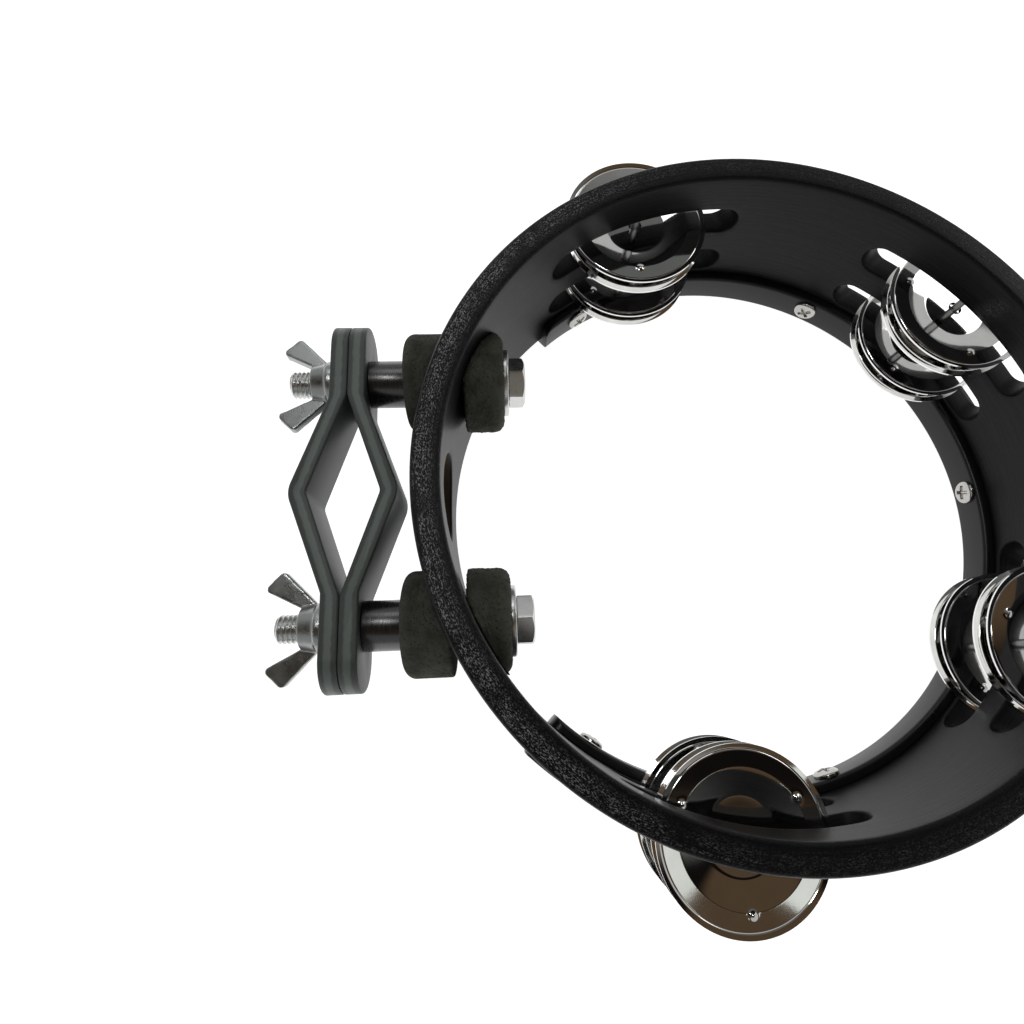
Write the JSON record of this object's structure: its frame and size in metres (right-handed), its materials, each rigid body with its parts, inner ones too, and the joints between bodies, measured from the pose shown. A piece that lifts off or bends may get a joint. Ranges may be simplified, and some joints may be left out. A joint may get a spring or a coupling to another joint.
{
  "type": "tambourine",
  "caption": "Round open tambourine ring with two rows of paired jingle discs, a rim guard and a two-bolt V clamp with wing nuts that holds it on a stand rod.",
  "frame": {"origin": "axis of the clamped rod, where the two clamp plates meet, at the height of the clamp bolts", "axes": "+Z along the rod and the ring's axis, towards the bare edge; +X from the rod to the ring's centre; +Y along the clamp plates"},
  "size_m": [0.2466, 0.2318, 0.0543],
  "materials": {
    "black_stained_wood": "satin",
    "black_plastic": "satin",
    "nickel_screw": "polished",
    "dark_painted_steel": "satin",
    "pin_steel": "satin",
    "zinc_steel": "zinc plated",
    "cast_zinc": "cast, zinc plated",
    "grey_foam": "porous foam",
    "black_tube": "gloss",
    "mirror_steel": "mirror"
  },
  "bodies": {
    "ring": {"shell": "black_stained_wood", "rim_guard": "black_plastic", "guard_screws": "nickel_screw", "clamp_plate_inner": "dark_painted_steel", "jingle_pin_1": "pin_steel", "jingle_pin_2": "pin_steel", "jingle_pin_3": "pin_steel", "jingle_pin_4": "pin_steel", "clamp_bolt_a": "zinc_steel", "washer_a": "zinc_steel", "inner_bushing_a": "grey_foam", "outer_bushing_a": "grey_foam", "spacer_tube_a": "black_tube", "clamp_bolt_b": "zinc_steel", "washer_b": "zinc_steel", "inner_bushing_b": "grey_foam", "outer_bushing_b": "grey_foam", "spacer_tube_b": "black_tube"},
    "clamp_jaw": {"clamp_plate_outer": "dark_painted_steel"},
    "wing_nut_a": {"wing_nut_a": "cast_zinc"},
    "wing_nut_b": {"wing_nut_b": "cast_zinc"},
    "jingle_1_upper_bottom": {"jingle_1_upper_bottom": "mirror_steel"},
    "jingle_1_upper_top": {"jingle_1_upper_top": "mirror_steel"},
    "jingle_1_lower_bottom": {"jingle_1_lower_bottom": "mirror_steel"},
    "jingle_1_lower_top": {"jingle_1_lower_top": "mirror_steel"},
    "jingle_2_upper_bottom": {"jingle_2_upper_bottom": "mirror_steel"},
    "jingle_2_upper_top": {"jingle_2_upper_top": "mirror_steel"},
    "jingle_2_lower_bottom": {"jingle_2_lower_bottom": "mirror_steel"},
    "jingle_2_lower_top": {"jingle_2_lower_top": "mirror_steel"},
    "jingle_3_upper_bottom": {"jingle_3_upper_bottom": "mirror_steel"},
    "jingle_3_upper_top": {"jingle_3_upper_top": "mirror_steel"},
    "jingle_3_lower_bottom": {"jingle_3_lower_bottom": "mirror_steel"},
    "jingle_3_lower_top": {"jingle_3_lower_top": "mirror_steel"},
    "jingle_4_upper_bottom": {"jingle_4_upper_bottom": "mirror_steel"},
    "jingle_4_upper_top": {"jingle_4_upper_top": "mirror_steel"},
    "jingle_4_lower_bottom": {"jingle_4_lower_bottom": "mirror_steel"},
    "jingle_4_lower_top": {"jingle_4_lower_top": "mirror_steel"}
  },
  "joints": [
    {"name": "clamp_jaw_slide", "type": "slide", "parent": "ring", "child": "clamp_jaw", "axis": [-1, 0, 0], "range_m": [0, 0.0075]},
    {"name": "wing_nut_a_turn", "type": "hinge", "parent": "clamp_jaw", "child": "wing_nut_a", "pos_m": [-0.0051, 0.0365, 0], "axis": [-1, 0, 0], "range_deg": [0, 2160]},
    {"name": "wing_nut_b_turn", "type": "hinge", "parent": "clamp_jaw", "child": "wing_nut_b", "pos_m": [-0.0051, -0.0365, 0], "axis": [-1, 0, 0], "range_deg": [0, 2160]},
    {"name": "jingle_1_upper_bottom_rattle", "type": "slide", "parent": "ring", "child": "jingle_1_upper_bottom", "axis": [0, 0, 1], "range_m": [0, 0.0019]},
    {"name": "jingle_1_upper_top_rattle", "type": "slide", "parent": "jingle_1_upper_bottom", "child": "jingle_1_upper_top", "axis": [0, 0, 1], "range_m": [0, 0.0019]},
    {"name": "jingle_1_lower_bottom_rattle", "type": "slide", "parent": "ring", "child": "jingle_1_lower_bottom", "axis": [0, 0, 1], "range_m": [0, 0.0019]},
    {"name": "jingle_1_lower_top_rattle", "type": "slide", "parent": "jingle_1_lower_bottom", "child": "jingle_1_lower_top", "axis": [0, 0, 1], "range_m": [0, 0.0019]},
    {"name": "jingle_2_upper_bottom_rattle", "type": "slide", "parent": "ring", "child": "jingle_2_upper_bottom", "axis": [0, 0, 1], "range_m": [0, 0.0019]},
    {"name": "jingle_2_upper_top_rattle", "type": "slide", "parent": "jingle_2_upper_bottom", "child": "jingle_2_upper_top", "axis": [0, 0, 1], "range_m": [0, 0.0019]},
    {"name": "jingle_2_lower_bottom_rattle", "type": "slide", "parent": "ring", "child": "jingle_2_lower_bottom", "axis": [0, 0, 1], "range_m": [0, 0.0019]},
    {"name": "jingle_2_lower_top_rattle", "type": "slide", "parent": "jingle_2_lower_bottom", "child": "jingle_2_lower_top", "axis": [0, 0, 1], "range_m": [0, 0.0019]},
    {"name": "jingle_3_upper_bottom_rattle", "type": "slide", "parent": "ring", "child": "jingle_3_upper_bottom", "axis": [0, 0, 1], "range_m": [0, 0.0019]},
    {"name": "jingle_3_upper_top_rattle", "type": "slide", "parent": "jingle_3_upper_bottom", "child": "jingle_3_upper_top", "axis": [0, 0, 1], "range_m": [0, 0.0019]},
    {"name": "jingle_3_lower_bottom_rattle", "type": "slide", "parent": "ring", "child": "jingle_3_lower_bottom", "axis": [0, 0, 1], "range_m": [0, 0.0019]},
    {"name": "jingle_3_lower_top_rattle", "type": "slide", "parent": "jingle_3_lower_bottom", "child": "jingle_3_lower_top", "axis": [0, 0, 1], "range_m": [0, 0.0019]},
    {"name": "jingle_4_upper_bottom_rattle", "type": "slide", "parent": "ring", "child": "jingle_4_upper_bottom", "axis": [0, 0, 1], "range_m": [0, 0.0019]},
    {"name": "jingle_4_upper_top_rattle", "type": "slide", "parent": "jingle_4_upper_bottom", "child": "jingle_4_upper_top", "axis": [0, 0, 1], "range_m": [0, 0.0019]},
    {"name": "jingle_4_lower_bottom_rattle", "type": "slide", "parent": "ring", "child": "jingle_4_lower_bottom", "axis": [0, 0, 1], "range_m": [0, 0.0019]},
    {"name": "jingle_4_lower_top_rattle", "type": "slide", "parent": "jingle_4_lower_bottom", "child": "jingle_4_lower_top", "axis": [0, 0, 1], "range_m": [0, 0.0019]}
  ],
  "couplings": [
    {"joint": "wing_nut_a_turn", "follows": "clamp_jaw_slide", "rad_per_m": 5026.5},
    {"joint": "wing_nut_b_turn", "follows": "clamp_jaw_slide", "rad_per_m": 5026.5}
  ]
}
